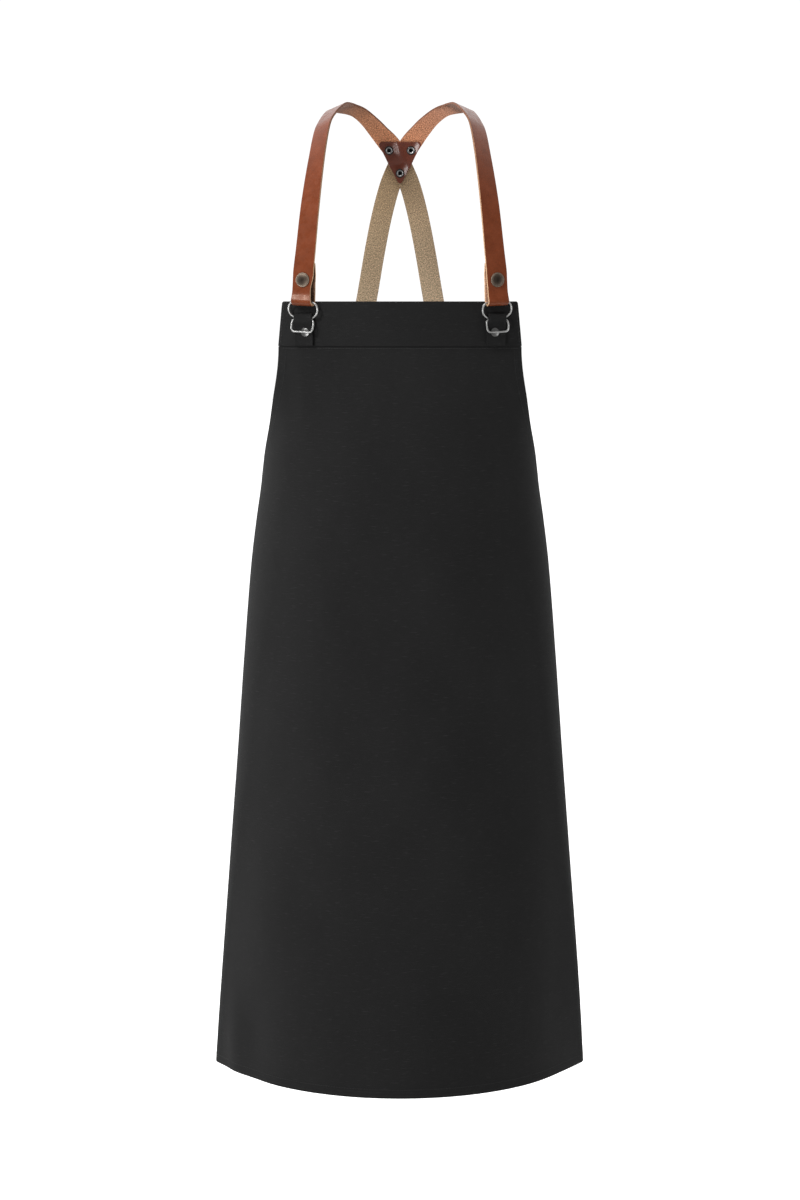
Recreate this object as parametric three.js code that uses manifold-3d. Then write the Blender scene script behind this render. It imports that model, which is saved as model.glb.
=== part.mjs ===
// A long bib apron in its worn form, with leather straps that cross on the back.
// Millimetres, +Z up, front towards -Y. The origin lies midway between the two
// shoulder crests of the straps, at the level of their undersides.
import * as THREE from "three";
import { mergeVertices } from "three/addons/utils/BufferGeometryUtils.js";
import Module from "manifold-3d";

const CLEARANCE = 0.3;
const ROUND_SIDES = 12;

// Cloth panel: lengths along the cloth are half girths, from the centre line out.
const APRON_LENGTH = 911;
const TOP_Z = -227;
const TOP_Y = -115;
const CLOTH = 1.2;
const BIB_HALF = 137.5;
const BIB_SEAM_HALF = 143;
const WAIST_HALF = 350;
const WAIST_DROP = 300;
const ARMHOLE_POWER = 2.0;
const BACK_RADIUS = 228;

// Top band: one folded strip over the panel's top edge.
const BAND_DEPTH = 50;
const BAND_PLY = 1.0;
const BAND_OUT = CLOTH / 2 + CLEARANCE + BAND_PLY / 2;
const BAND_CELLS = 10;

// Cloth tabs, studs and wire buckles, placed along the cloth from the centre line.
const TAB_ALONG = 109;
const TAB_WIDTH = 22.4;
const TAB_PLY = 1.0;
const STUD_ACROSS = -2;
const STUD_Z = -261.5;
const STUD_RADIUS = 5.0;
const TAB_FRONT = 3.05;
const SHANK = 1.5;
const SHANK_HOLE = 1.8;
const WIRE_RADIUS = 1.05;
const NECK_Z = -246.3;
const HANG_ROLL = 3;

// Leather straps, press studs, patch and rivets.
const STRAP_WIDTH = 24.5;
const LEATHER = 2.4;
const LOOP_RADIUS = 5.0;
const LOOP_OUT = 6.9;
const LOOP_Z = -225.8;
const PLY_BACK = 3.0;
const PLY_FRONT = 9.4;
const SNAP_Z = -203;
const SNAP_RADIUS = 8.2;
const SNAP_POST = 2.0;
const LAP_OFFSET = LEATHER / 2 + 0.2;
const CROSS_Z = -63;
const CROSS_Y = 106.5;
const CROSS_SLOPE = 0.17;
const PATCH_THICK = 2.0;
const PATCH_CORNER = 4;
const RIVET_FLANGE = 5.2;
const RIVET_BARREL = 3.2;
const RIVET_BORE = 2.4;
const SIDE_RIVET_ALONG = 331;
const SIDE_RIVET_DROP = 318;
const SIDE_TAIL = 14;
const TAIL_RUN = 70;
const TAIL_EASE = 1.2;
const STRAP_SLANT = 0.22;

// Plan of the cloth at a drop below the top edge. lean is the centre's shift towards +Y,
// wide the half width it turns round, turn the sweep of the front arc in degrees, flank the
// straight run after it, side the radius of the side turn and heading where that turn ends.
const PLANS = [
  { drop: 0, lean: 0, wide: 172, turn: 30, flank: 0, side: 50, heading: 120 },
  { drop: 60, lean: 0, wide: 171, turn: 30.5, flank: 0, side: 52, heading: 120 },
  { drop: 146, lean: -3, wide: 155, turn: 34, flank: 0, side: 65, heading: 130 },
  { drop: 200, lean: -5, wide: 159.5, turn: 36, flank: 0, side: 75, heading: 138 },
  { drop: 252, lean: -7, wide: 167, turn: 38, flank: 0, side: 84, heading: 142 },
  { drop: 300, lean: -8, wide: 173, turn: 38, flank: 0, side: 85, heading: 142 },
  { drop: 406, lean: -10, wide: 182, turn: 42, flank: 10, side: 74, heading: 139 },
  { drop: 526, lean: -12, wide: 191, turn: 46, flank: 20, side: 60, heading: 133 },
  { drop: 648, lean: -13, wide: 201, turn: 50, flank: 32, side: 44, heading: 126 },
  { drop: 771, lean: -14, wide: 211, turn: 54, flank: 43, side: 27, heading: 119 },
  { drop: APRON_LENGTH, lean: -15, wide: 221, turn: 57, flank: 54, side: 12, heading: 112 },
];

// Rows and columns of the cloth grid: drops, and shares of the half girth.
const CLOTH_ROWS = [
  1.4, 50, 80, 112, 146, 175, 200, 225, 250, 270, 286, 300, 330, 366, 406, 460, 526,
  585, 648, 710, 771, 840, APRON_LENGTH,
];
const CLOTH_SHARES = [
  0, 0.1, 0.2, 0.3, 0.38, 0.46, 0.53, 0.6, 0.66, 0.72, 0.765, 0.79, 0.805, 0.82, 0.84,
  0.88, 0.92, 0.96, 1,
];

// Strap along its length from the front loop to the opposite waist corner, for the side
// with x > 0. turn and lift aim the grain face: turn from -Y towards +X, lift upwards.
// lap is the share of the sideways offset that parts the two straps where they cross.
const STRAP_RUN = [
  { x: 105.6, y: -105.5, z: -171, turn: 26, lift: 4, lap: 0 },
  { x: 100.2, y: -98, z: -117.6, turn: 33, lift: 12, lap: 0 },
  { x: 93.2, y: -77, z: -63.3, turn: 47, lift: 26, lap: 0 },
  { x: 87.6, y: -50, z: -30, turn: 59, lift: 42, lap: 0 },
  { x: 82.6, y: -29, z: -18, turn: 68, lift: 54, lap: 0 },
  { x: 77.2, y: 0, z: -8.5, turn: 82, lift: 64, lap: 0 },
  { x: 72.0, y: 38, z: -1.8, turn: 102, lift: 68, lap: 0 },
  { x: 63.6, y: 74, z: -0.8, turn: 130, lift: 69, lap: 0 },
  { x: 48.8, y: 89, z: -4.4, turn: 190, lift: 66, lap: 0.2 },
  { x: 35.2, y: 95, z: -15, turn: 203, lift: 49, lap: 0.7 },
  { x: 22.6, y: 100.2, z: -28.8, turn: 198, lift: 31, lap: 1 },
  { x: 10.1, y: 103.3, z: -44.2, turn: 180, lift: 9.7, lap: 1 },
  { x: -0.6, y: 106.5, z: -63.4, turn: 180, lift: 9.7, lap: 1 },
  { x: -10.4, y: 110.2, z: -85.1, turn: 180, lift: 9, lap: 1 },
  { x: -15.4, y: 112, z: -100.5, turn: 180, lift: 6, lap: 0.8 },
  { x: -22.6, y: 113.8, z: -128.9, turn: 181, lift: 3, lap: 0.3 },
  { x: -30.2, y: 115, z: -166.9, turn: 182, lift: 1, lap: 0 },
  { x: -40.3, y: 115, z: -225.4, turn: 184, lift: 0, lap: 0 },
  { x: -62, y: 113, z: -340, turn: 192, lift: -2, lap: 0 },
];

// Front loop of a strap below its first run point, from the free end of the back ply down
// and up again to the face: out is the distance from the band, z the height.
const LOOP_BACK = [
  { out: 6.2, z: -184 },
  { out: 4.4, z: -191 },
  { out: PLY_BACK, z: -198 },
  { out: PLY_BACK, z: -207 },
  { out: 2.2, z: -215 },
];
const LOOP_FRONT = [
  { out: 11.6, z: -219 },
  { out: 9.6, z: -212 },
  { out: PLY_FRONT, z: -203 },
  { out: PLY_FRONT, z: -194 },
];

// Half of the buckle's bent wire, from its end in the top bar to the middle of the lower bar.
const BUCKLE_HALF = [
  { side: 0.25, z: -228.0, out: 6.9 },
  { side: 7, z: -228.0, out: 6.9 },
  { side: 12.6, z: -228.2, out: 6.9 },
  { side: 15.9, z: -230.4, out: 6.7 },
  { side: 17.4, z: -234.0, out: 6.4 },
  { side: 17.4, z: -238.0, out: 5.9 },
  { side: 15.8, z: -241.6, out: 5.2 },
  { side: 12.4, z: -244.3, out: 4.5 },
  { side: 9.4, z: -246.3, out: 4.2 },
  { side: 12.0, z: -248.6, out: 4.6 },
  { side: 13.1, z: -251.4, out: 5.4 },
  { side: 13.2, z: -255.0, out: 6.1 },
  { side: 12.7, z: -258.4, out: 6.6 },
  { side: 10.8, z: -260.7, out: 6.75 },
  { side: 6, z: -261.2, out: 6.75 },
  { side: 0, z: -261.2, out: 6.75 },
];

// A tab's strip from its sewn back end over the fold to its sewn front end.
const TAB_STRIP = [
  { out: 0.85, z: -276 },
  { out: 1.7, z: -266 },
  { out: 1.75, z: -261 },
  { out: 1.8, z: -252 },
  { out: 1.9, z: -243.2 },
  { out: 2.52, z: -241.72 },
  { out: 4.0, z: -241.1 },
  { out: 5.48, z: -241.72 },
  { out: 6.1, z: -243.2 },
  { out: 6.3, z: -247.4 },
  { out: 6.25, z: -250 },
  { out: 4.9, z: -252.6 },
  { out: 3.35, z: -255.2 },
  { out: TAB_FRONT, z: -257.5 },
  { out: TAB_FRONT, z: -261.5 },
  { out: TAB_FRONT, z: -266 },
  { out: 2.15, z: -276 },
];

// Triangular patch in its own plane: corners and rivet holes, across and up from the crossing.
const PATCH_CORNERS = [
  { across: 0, up: -27 },
  { across: 27, up: 25.5 },
  { across: -27, up: 25.5 },
];
const CROSS_RIVETS = [
  { name: "cross_rivet_left", across: -13, up: 15.5, through: -1 },
  { name: "cross_rivet_right", across: 13, up: 15.5, through: 1 },
  { name: "cross_rivet_lower", across: 0, up: -11.5, through: 0 },
];

const LOOKS = {
  cloth: { color: 0x232325, roughness: 0.92, metalness: 0 },
  leather: { color: 0x8a4b30, roughness: 0.5, metalness: 0 },
  darkLeather: { color: 0x613a2f, roughness: 0.45, metalness: 0 },
  steel: { color: 0xb9b9b8, roughness: 0.25, metalness: 1 },
  bronze: { color: 0x4f4239, roughness: 0.4, metalness: 1 },
};

const wasm = await Module();
wasm.setup();
const { sin, cos, abs, PI } = Math;
const rad = THREE.MathUtils.degToRad;
const apron = new THREE.Group();

// Smooth monotone value of one table column between its rows.
function columnAt(table, key, name, at) {
  const last = table.length - 1;
  const x = (i) => table[i][key];
  const v = (i) => table[i][name];
  const slope = (i) => (v(i + 1) - v(i)) / (x(i + 1) - x(i));
  const lean = (i) => {
    if (i === 0) return slope(0);
    if (i === last) return slope(last - 1);
    const before = slope(i - 1);
    const after = slope(i);
    return before * after <= 0 ? 0 : (2 * before * after) / (before + after);
  };
  let i = 0;
  while (i < last - 1 && at > x(i + 1)) i += 1;
  const span = x(i + 1) - x(i);
  const t = (at - x(i)) / span;
  const rise = t * t * (3 - 2 * t);
  const start = t * (1 - t) * (1 - t);
  const end = t * t * (t - 1);
  return v(i) * (1 - rise) + v(i + 1) * rise + span * (lean(i) * start + lean(i + 1) * end);
}

function halfGirth(drop) {
  if (drop <= BAND_DEPTH) return BIB_HALF + ((BIB_SEAM_HALF - BIB_HALF) * drop) / BAND_DEPTH;
  const t = Math.min(1, (drop - BAND_DEPTH) / (WAIST_DROP - BAND_DEPTH));
  return BIB_SEAM_HALF + (WAIST_HALF - BIB_SEAM_HALF) * t ** ARMHOLE_POWER;
}

// Middle surface of the cloth at a drop and a length along it from the centre line.
function clothAt(drop, along) {
  const plan = (name) => columnAt(PLANS, "drop", name, drop);
  const turn = rad(plan("turn"));
  const side = plan("side");
  const flank = plan("flank");
  const front = (plan("wide") - flank * cos(turn) - side * (1 - sin(turn))) / sin(turn);
  const runs = [
    { length: front * turn, bend: 1 / front },
    { length: flank, bend: 0 },
    { length: side * (rad(plan("heading")) - turn), bend: 1 / side },
    { length: Infinity, bend: 1 / BACK_RADIUS },
  ];
  let x = 0;
  let y = TOP_Y + plan("lean");
  let heading = 0;
  let left = abs(along);
  for (const run of runs) {
    const step = Math.min(left, run.length);
    const next = heading + step * run.bend;
    if (run.bend === 0) {
      x += step * cos(heading);
      y += step * sin(heading);
    } else {
      x += (sin(next) - sin(heading)) / run.bend;
      y += (cos(heading) - cos(next)) / run.bend;
    }
    heading = next;
    left -= step;
  }
  const mirror = along < 0 ? -1 : 1;
  return {
    point: new THREE.Vector3(mirror * x, y, TOP_Z - drop),
    out: new THREE.Vector3(mirror * sin(heading), -cos(heading), 0),
    across: new THREE.Vector3(mirror * cos(heading), sin(heading), 0),
  };
}

// Closed solid of a sheet: a grid of middle points with their outward directions.
function sheetGeometry(rows, thickness) {
  const count = rows.length;
  const wide = rows[0].length;
  const position = [];
  for (const face of [0.5, -0.5])
    for (const row of rows)
      for (const cell of row) {
        const p = cell.point.clone().addScaledVector(cell.out, face * thickness);
        position.push(p.x, p.y, p.z);
      }
  const outer = (i, j) => i * wide + j;
  const inner = (i, j) => count * wide + i * wide + j;
  const index = [];
  const quad = (a, b, c, d) => index.push(a, b, c, a, c, d);
  for (let i = 0; i + 1 < count; i += 1)
    for (let j = 0; j + 1 < wide; j += 1) {
      quad(outer(i, j), outer(i, j + 1), outer(i + 1, j + 1), outer(i + 1, j));
      quad(inner(i, j), inner(i + 1, j), inner(i + 1, j + 1), inner(i, j + 1));
    }
  for (let i = 0; i + 1 < count; i += 1) {
    const end = wide - 1;
    quad(outer(i, 0), outer(i + 1, 0), inner(i + 1, 0), inner(i, 0));
    quad(outer(i, end), inner(i, end), inner(i + 1, end), outer(i + 1, end));
  }
  for (let j = 0; j + 1 < wide; j += 1) {
    const end = count - 1;
    quad(outer(0, j), inner(0, j), inner(0, j + 1), outer(0, j + 1));
    quad(outer(end, j), outer(end, j + 1), inner(end, j + 1), inner(end, j));
  }
  return faceOut(position, index);
}

function faceOut(position, index) {
  let volume = 0;
  const corner = (k) => new THREE.Vector3().fromArray(position, 3 * index[k]);
  for (let k = 0; k < index.length; k += 3)
    volume += corner(k).dot(corner(k + 1).cross(corner(k + 2)));
  if (volume < 0) index.reverse();
  const geometry = new THREE.BufferGeometry();
  geometry.setAttribute("position", new THREE.Float32BufferAttribute(position, 3));
  geometry.setIndex(index);
  return geometry;
}

function solidOf(geometry) {
  const bare = geometry.clone();
  bare.deleteAttribute("normal");
  bare.deleteAttribute("uv");
  const merged = mergeVertices(bare, 1e-4);
  const vertProperties = new Float32Array(merged.attributes.position.array);
  const triVerts = new Uint32Array(merged.index.array);
  return new wasm.Manifold(new wasm.Mesh({ numProp: 3, vertProperties, triVerts }));
}

function drilled(geometry, pins) {
  let body = solidOf(geometry);
  for (const pin of pins) body = body.subtract(solidOf(pin));
  const mesh = body.getMesh();
  return faceOut([...mesh.vertProperties], [...mesh.triVerts]);
}

// Round pin along an axis through a point, longer than what it drills.
function pinAt(point, axis, radius, reach) {
  const pin = new THREE.CylinderGeometry(radius, radius, 2 * reach, ROUND_SIDES);
  pin.applyQuaternion(turnTo(axis));
  pin.translate(point.x, point.y, point.z);
  return pin;
}

function turnTo(axis) {
  return new THREE.Quaternion().setFromUnitVectors(new THREE.Vector3(0, 1, 0), axis);
}

// A turned piece from radius and height pairs; its +Y axis is laid along the given axis.
function turnedGeometry(profile) {
  return new THREE.LatheGeometry(profile.map(([r, h]) => new THREE.Vector2(r, h)), ROUND_SIDES);
}

function addPiece(name, geometry, look, parent = apron) {
  const mesh = new THREE.Mesh(geometry, new THREE.MeshStandardMaterial(LOOKS[look]));
  mesh.name = name;
  mesh.geometry.computeVertexNormals();
  parent.add(mesh);
  return mesh;
}

function addTurned(name, profile, point, axis, look) {
  const mesh = addPiece(name, turnedGeometry(profile), look);
  mesh.position.copy(point);
  mesh.quaternion.copy(turnTo(axis));
}

// Strip of constant width and thickness along a smooth path of centres and face aims.
function stripRows(stations, width, stepLength) {
  const curve = new THREE.CatmullRomCurve3(stations.map((s) => s.point), false, "centripetal");
  const spans = stations.length - 1;
  const rows = [];
  for (let i = 0; i < spans; i += 1) {
    const from = stations[i];
    const to = stations[i + 1];
    const steps = Math.max(2, Math.ceil(from.point.distanceTo(to.point) / stepLength));
    const stop = i === spans - 1 ? steps + 1 : steps;
    for (let k = 0; k < stop; k += 1) {
      const t = (i + k / steps) / spans;
      const tangent = curve.getTangent(t);
      const out = from.out.clone().lerp(to.out, k / steps);
      out.addScaledVector(tangent, -out.dot(tangent)).normalize();
      const across = new THREE.Vector3().crossVectors(tangent, out);
      const middle = curve.getPoint(t);
      const edge = (side) => middle.clone().addScaledVector(across, (side * width) / 2);
      rows.push([
        { point: edge(-1), out },
        { point: edge(1), out },
      ]);
    }
  }
  return rows;
}

// Frame of the hardware on one side: hang maps side, out and height to the apron's axes,
// still without the roll that the buckle and the strap's loop share.
function hardwareFrame(side) {
  const base = clothAt(BAND_DEPTH / 2, side * TAB_ALONG);
  const face = base.point.clone().addScaledVector(base.out, BAND_OUT + BAND_PLY / 2);
  const axis = base.across;
  const roll = rad(HANG_ROLL);
  const place = (across, out, z) =>
    new THREE.Vector3(face.x, face.y, z)
      .addScaledVector(axis, across)
      .addScaledVector(base.out, out);
  const hang = (across, out, z) => {
    const up = z - NECK_Z;
    return place(across * cos(roll) - up * sin(roll), out, NECK_Z + up * cos(roll) + across * sin(roll));
  };
  return { out: base.out, axis, place, hang };
}

// Points of a strip in the hardware frame with the direction its outer face looks.
function hungStations(points, toWorld, out) {
  return points.map((p, i) => {
    const a = points[Math.max(0, i - 1)];
    const b = points[Math.min(points.length - 1, i + 1)];
    const run = toWorld(0, b.out, b.z).sub(toWorld(0, a.out, a.z)).normalize();
    const level = toWorld(1, 0, 0).sub(toWorld(0, 0, 0));
    const face = new THREE.Vector3().crossVectors(run, level).normalize();
    return { point: toWorld(0, p.out, p.z), out: face.multiplyScalar(out) };
  });
}

function loopPoints() {
  const round = [];
  for (let k = 0; k <= 6; k += 1) {
    const angle = PI + (k * PI) / 6;
    round.push({ out: LOOP_OUT + LOOP_RADIUS * cos(angle), z: LOOP_Z + LOOP_RADIUS * sin(angle) });
  }
  return [...LOOP_BACK, ...round, ...LOOP_FRONT];
}

function aim(turn, lift) {
  const level = cos(rad(lift));
  return new THREE.Vector3(sin(rad(turn)) * level, -cos(rad(turn)) * level, sin(rad(lift)));
}

// Where a strap's lower end is riveted to the panel, on the other side of the body.
function waistCorner(side) {
  const at = clothAt(SIDE_RIVET_DROP, side * SIDE_RIVET_ALONG);
  const below = clothAt(SIDE_RIVET_DROP + 10, side * SIDE_RIVET_ALONG);
  const down = below.point.clone().sub(at.point).normalize();
  const out = new THREE.Vector3().crossVectors(down, at.across).normalize();
  if (out.dot(at.out) < 0) out.negate();
  const run = down.clone().addScaledVector(at.across, -STRAP_SLANT).normalize();
  return { point: at.point, out, run };
}

function strapStations(side, frame) {
  const hung = hungStations(loopPoints(), frame.hang, -side);
  const run = STRAP_RUN.map((r) => {
    const out = aim(r.turn, r.lift);
    const point = new THREE.Vector3(r.x, r.y, r.z).addScaledVector(out, side * r.lap * LAP_OFFSET);
    point.x *= side;
    out.x *= side;
    return { point, out };
  });
  const corner = waistCorner(-side);
  const lift = CLOTH / 2 + CLEARANCE + LEATHER / 2;
  const tail = [-TAIL_RUN, 0, SIDE_TAIL].map((reach) => ({
    point: corner.point
      .clone()
      .addScaledVector(corner.out, lift + (reach < 0 ? TAIL_EASE : 0))
      .addScaledVector(corner.run, reach),
    out: corner.out.clone(),
  }));
  return [...hung, ...run, ...tail];
}

// The crossing's own plane: across along X, up in the slope of the back, out to the rear.
const crossSlope = Math.atan(CROSS_SLOPE);
const crossOut = new THREE.Vector3(0, cos(crossSlope), sin(crossSlope));
const crossUp = new THREE.Vector3(0, -sin(crossSlope), cos(crossSlope));
function crossPoint(across, up, out) {
  return new THREE.Vector3(across, CROSS_Y, CROSS_Z)
    .addScaledVector(crossUp, up)
    .addScaledVector(crossOut, out);
}

function patchShape() {
  const shape = new THREE.Shape();
  const corners = PATCH_CORNERS.map((c) => new THREE.Vector2(c.across, c.up));
  corners.forEach((corner, i) => {
    const before = corners[(i + 2) % 3];
    const after = corners[(i + 1) % 3];
    const cut = PATCH_CORNER * 1.3;
    const a = corner.clone().lerp(before, cut / corner.distanceTo(before));
    const b = corner.clone().lerp(after, cut / corner.distanceTo(after));
    if (i === 0) shape.moveTo(a.x, a.y);
    else shape.lineTo(a.x, a.y);
    shape.quadraticCurveTo(corner.x, corner.y, b.x, b.y);
  });
  shape.closePath();
  for (const rivet of CROSS_RIVETS) {
    const hole = new THREE.Path();
    hole.absarc(rivet.across, rivet.up, RIVET_BARREL + CLEARANCE, 0, 2 * PI, true);
    shape.holes.push(hole);
  }
  return shape;
}

// Panel and band.
const shares = [...CLOTH_SHARES.slice(1).reverse().map((s) => -s), ...CLOTH_SHARES];
const panelRows = CLOTH_ROWS.map((drop) => shares.map((s) => clothAt(drop, s * halfGirth(drop))));
const sideHoles = [-1, 1].map((side) => {
  const corner = waistCorner(side);
  return pinAt(corner.point, corner.out, SHANK_HOLE, 6);
});
addPiece("apron_panel", drilled(sheetGeometry(panelRows, CLOTH), sideHoles), "cloth");

const fold = BAND_OUT;
const bandProfile = [
  { drop: BAND_DEPTH, out: fold, face: 0 },
  { drop: BAND_DEPTH / 2, out: fold, face: 0 },
  { drop: BAND_PLY / 2 + fold, out: fold, face: 0 },
  { drop: BAND_PLY / 2 + fold * 0.29, out: fold * 0.71, face: 45 },
  { drop: BAND_PLY / 2, out: 0, face: 90 },
  { drop: BAND_PLY / 2 + fold * 0.29, out: -fold * 0.71, face: 135 },
  { drop: BAND_PLY / 2 + fold, out: -fold, face: 180 },
  { drop: BAND_DEPTH / 2, out: -fold, face: 180 },
  { drop: BAND_DEPTH, out: -fold, face: 180 },
];
const bandRows = bandProfile.map((row) => {
  const cells = [];
  for (let k = -BAND_CELLS; k <= BAND_CELLS; k += 1) {
    const at = clothAt(row.drop, (k / BAND_CELLS) * halfGirth(row.drop));
    at.point.addScaledVector(at.out, row.out);
    const out = at.out.clone().multiplyScalar(cos(rad(row.face)));
    out.z = sin(rad(row.face));
    cells.push({ point: at.point, out });
  }
  return cells;
});
addPiece("top_band", sheetGeometry(bandRows, BAND_PLY), "cloth");

// Tabs, studs, buckles, straps and press studs of each side.
for (const [side, label] of [[-1, "left"], [1, "right"]]) {
  const frame = hardwareFrame(side);

  const tabRows = stripRows(hungStations(TAB_STRIP, frame.place, side), TAB_WIDTH, 6);
  const studAt = frame.place(STUD_ACROSS, 0, STUD_Z);
  addPiece(
    "tab_" + label,
    drilled(sheetGeometry(tabRows, TAB_PLY), [pinAt(studAt, frame.out, SHANK_HOLE, 12)]),
    "cloth",
  );
  const studFace = TAB_FRONT + TAB_PLY / 2 + CLEARANCE;
  addTurned(
    "tab_stud_" + label,
    [
      [0, 0.35],
      [3, 0.35],
      [3, 0.9],
      [SHANK, 0.9],
      [SHANK, studFace],
      [STUD_RADIUS, studFace],
      [STUD_RADIUS - 0.3, studFace + 0.5],
      [3.3, studFace + 1.0],
      [0, studFace + 1.25],
    ],
    studAt,
    frame.out,
    "steel",
  );

  const half = BUCKLE_HALF.map((p) => frame.hang(p.side, p.out, p.z));
  const other = BUCKLE_HALF.slice(0, -1)
    .reverse()
    .map((p) => frame.hang(-p.side, p.out, p.z));
  const wire = new THREE.CatmullRomCurve3([...half, ...other], false, "centripetal");
  const round = new THREE.Shape();
  round.absarc(0, 0, WIRE_RADIUS, 0, 2 * PI);
  addPiece(
    "buckle_" + label,
    new THREE.ExtrudeGeometry(round, { steps: 58, curveSegments: 4, extrudePath: wire }),
    "steel",
  );

  const holes = [pinAt(frame.hang(0, 0, SNAP_Z), frame.out, SNAP_POST + CLEARANCE, 18)];
  for (const rivet of CROSS_RIVETS)
    if (rivet.through === side || rivet.through === 0)
      holes.push(
        pinAt(crossPoint(rivet.across, rivet.up, 0), crossOut, RIVET_BARREL + CLEARANCE, 10),
      );
  const corner = waistCorner(-side);
  holes.push(pinAt(corner.point, corner.out, SHANK_HOLE, 8));
  const rows = stripRows(strapStations(side, frame), STRAP_WIDTH, 15);
  addPiece("strap_" + label, drilled(sheetGeometry(rows, LEATHER), holes), "leather");

  const back = PLY_BACK - LEATHER / 2 - CLEARANCE;
  const inner = PLY_BACK + LEATHER / 2 + CLEARANCE;
  const outer = PLY_FRONT - LEATHER / 2 - CLEARANCE;
  const face = PLY_FRONT + LEATHER / 2 + CLEARANCE;
  addTurned(
    "snap_" + label,
    [
      [0, back - 1.2],
      [4.5, back - 0.9],
      [4.5, back],
      [SNAP_POST, back],
      [SNAP_POST, inner],
      [3.6, inner],
      [3.6, outer],
      [SNAP_POST, outer],
      [SNAP_POST, face],
      [SNAP_RADIUS - 0.3, face],
      [SNAP_RADIUS, face + 0.5],
      [SNAP_RADIUS - 0.5, face + 1.3],
      [5, face + 2.1],
      [0, face + 2.4],
    ],
    frame.hang(0, 0, SNAP_Z),
    frame.out,
    "bronze",
  );

  addTurned(
    "side_rivet_" + label,
    [
      [0, -CLOTH / 2 - 1.6],
      [4, -CLOTH / 2 - 1.3],
      [4, -CLOTH / 2 - 2 * CLEARANCE],
      [SHANK, -CLOTH / 2 - 2 * CLEARANCE],
      [SHANK, CLOTH / 2 + LEATHER + 2 * CLEARANCE],
      [4.5, CLOTH / 2 + LEATHER + 2 * CLEARANCE],
      [4, CLOTH / 2 + LEATHER + 2 * CLEARANCE + 0.9],
      [0, CLOTH / 2 + LEATHER + 2 * CLEARANCE + 1.4],
    ],
    waistCorner(side).point,
    waistCorner(side).out,
    "steel",
  );
}

// Patch on the inner side of the crossing, and its three tubular rivets.
const patchBack = -LAP_OFFSET - LEATHER / 2 - CLEARANCE;
const patchFront = patchBack - PATCH_THICK;
const patch = addPiece(
  "cross_patch",
  new THREE.ExtrudeGeometry(patchShape(), { depth: PATCH_THICK, bevelEnabled: false, curveSegments: 7 }),
  "darkLeather",
);
patch.position.copy(crossPoint(0, 0, patchBack));
patch.rotation.x = PI / 2 + crossSlope;

for (const rivet of CROSS_RIVETS) {
  const rear = (rivet.through < 0 ? -1 : 1) * LAP_OFFSET + LEATHER / 2 + 3 * CLEARANCE;
  const front = patchFront - CLEARANCE;
  addTurned(
    rivet.name,
    [
      [0, rear + 1],
      [4.2, rear + 0.8],
      [4.2, rear],
      [RIVET_BARREL, rear],
      [RIVET_BARREL, front],
      [RIVET_FLANGE, front],
      [RIVET_FLANGE - 0.5, front - 0.9],
      [RIVET_BORE + 0.7, front - 1.1],
      [RIVET_BORE, front - 0.5],
      [RIVET_BORE, rear - 1.4],
      [0, rear - 1.4],
    ].reverse(),
    crossPoint(rivet.across, rivet.up, 0),
    crossOut,
    "steel",
  );
}

export default apron;
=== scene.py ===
# Looks of a long black bib apron in its worn form: a twill panel with hems, a folded top band,
# cloth tabs, wire buckles, and leather shoulder straps that cross on the back under a patch.
import math
from functools import lru_cache

import bmesh
import bpy
from mathutils import Matrix, Vector


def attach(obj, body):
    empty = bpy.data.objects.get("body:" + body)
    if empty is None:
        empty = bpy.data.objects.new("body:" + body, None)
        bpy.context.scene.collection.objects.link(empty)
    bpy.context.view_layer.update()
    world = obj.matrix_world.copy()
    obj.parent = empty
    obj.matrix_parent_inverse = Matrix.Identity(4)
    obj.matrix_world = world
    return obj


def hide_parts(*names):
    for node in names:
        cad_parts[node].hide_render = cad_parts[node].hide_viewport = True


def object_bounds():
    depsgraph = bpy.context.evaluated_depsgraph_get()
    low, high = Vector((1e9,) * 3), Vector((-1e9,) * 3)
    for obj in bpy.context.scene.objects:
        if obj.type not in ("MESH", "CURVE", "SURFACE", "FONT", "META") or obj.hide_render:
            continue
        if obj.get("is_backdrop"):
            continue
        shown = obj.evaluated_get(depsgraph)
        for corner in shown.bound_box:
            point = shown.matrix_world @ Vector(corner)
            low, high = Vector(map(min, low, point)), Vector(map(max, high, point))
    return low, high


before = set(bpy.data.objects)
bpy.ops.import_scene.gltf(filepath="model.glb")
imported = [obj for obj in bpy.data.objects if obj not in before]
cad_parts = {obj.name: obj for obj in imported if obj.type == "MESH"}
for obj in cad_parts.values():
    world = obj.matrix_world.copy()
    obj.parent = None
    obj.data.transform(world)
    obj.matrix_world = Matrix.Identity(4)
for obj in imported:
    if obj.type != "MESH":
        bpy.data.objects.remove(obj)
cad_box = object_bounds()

# Sizes are in millimetres, as in the part's source; points become metres when a mesh is made.
MM = 0.001
SIDES = ((-1, "left"), (1, "right"))

# Cloth: half girths run along the cloth from the centre line, drops down from the top edge.
APRON_LENGTH = 911
TOP_Z = -227
TOP_Y = -115
CLOTH = 1.2
GAP = 0.3
BIB_HALF = 137.5
BIB_SEAM_HALF = 143
WAIST_HALF = 350
WAIST_DROP = 300
BACK_RADIUS = 228
BAND_DEPTH = 50
BAND_PLY = 1.0
BAND_OUT = CLOTH / 2 + GAP + BAND_PLY / 2
BAND_CORNER = 3.0
BAND_PINCH = 0.18
BAND_PINCH_REACH = 5
PANEL_TOP = 1.4
HEM_WIDTH = 12
HEM_PLY = 0.9

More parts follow.
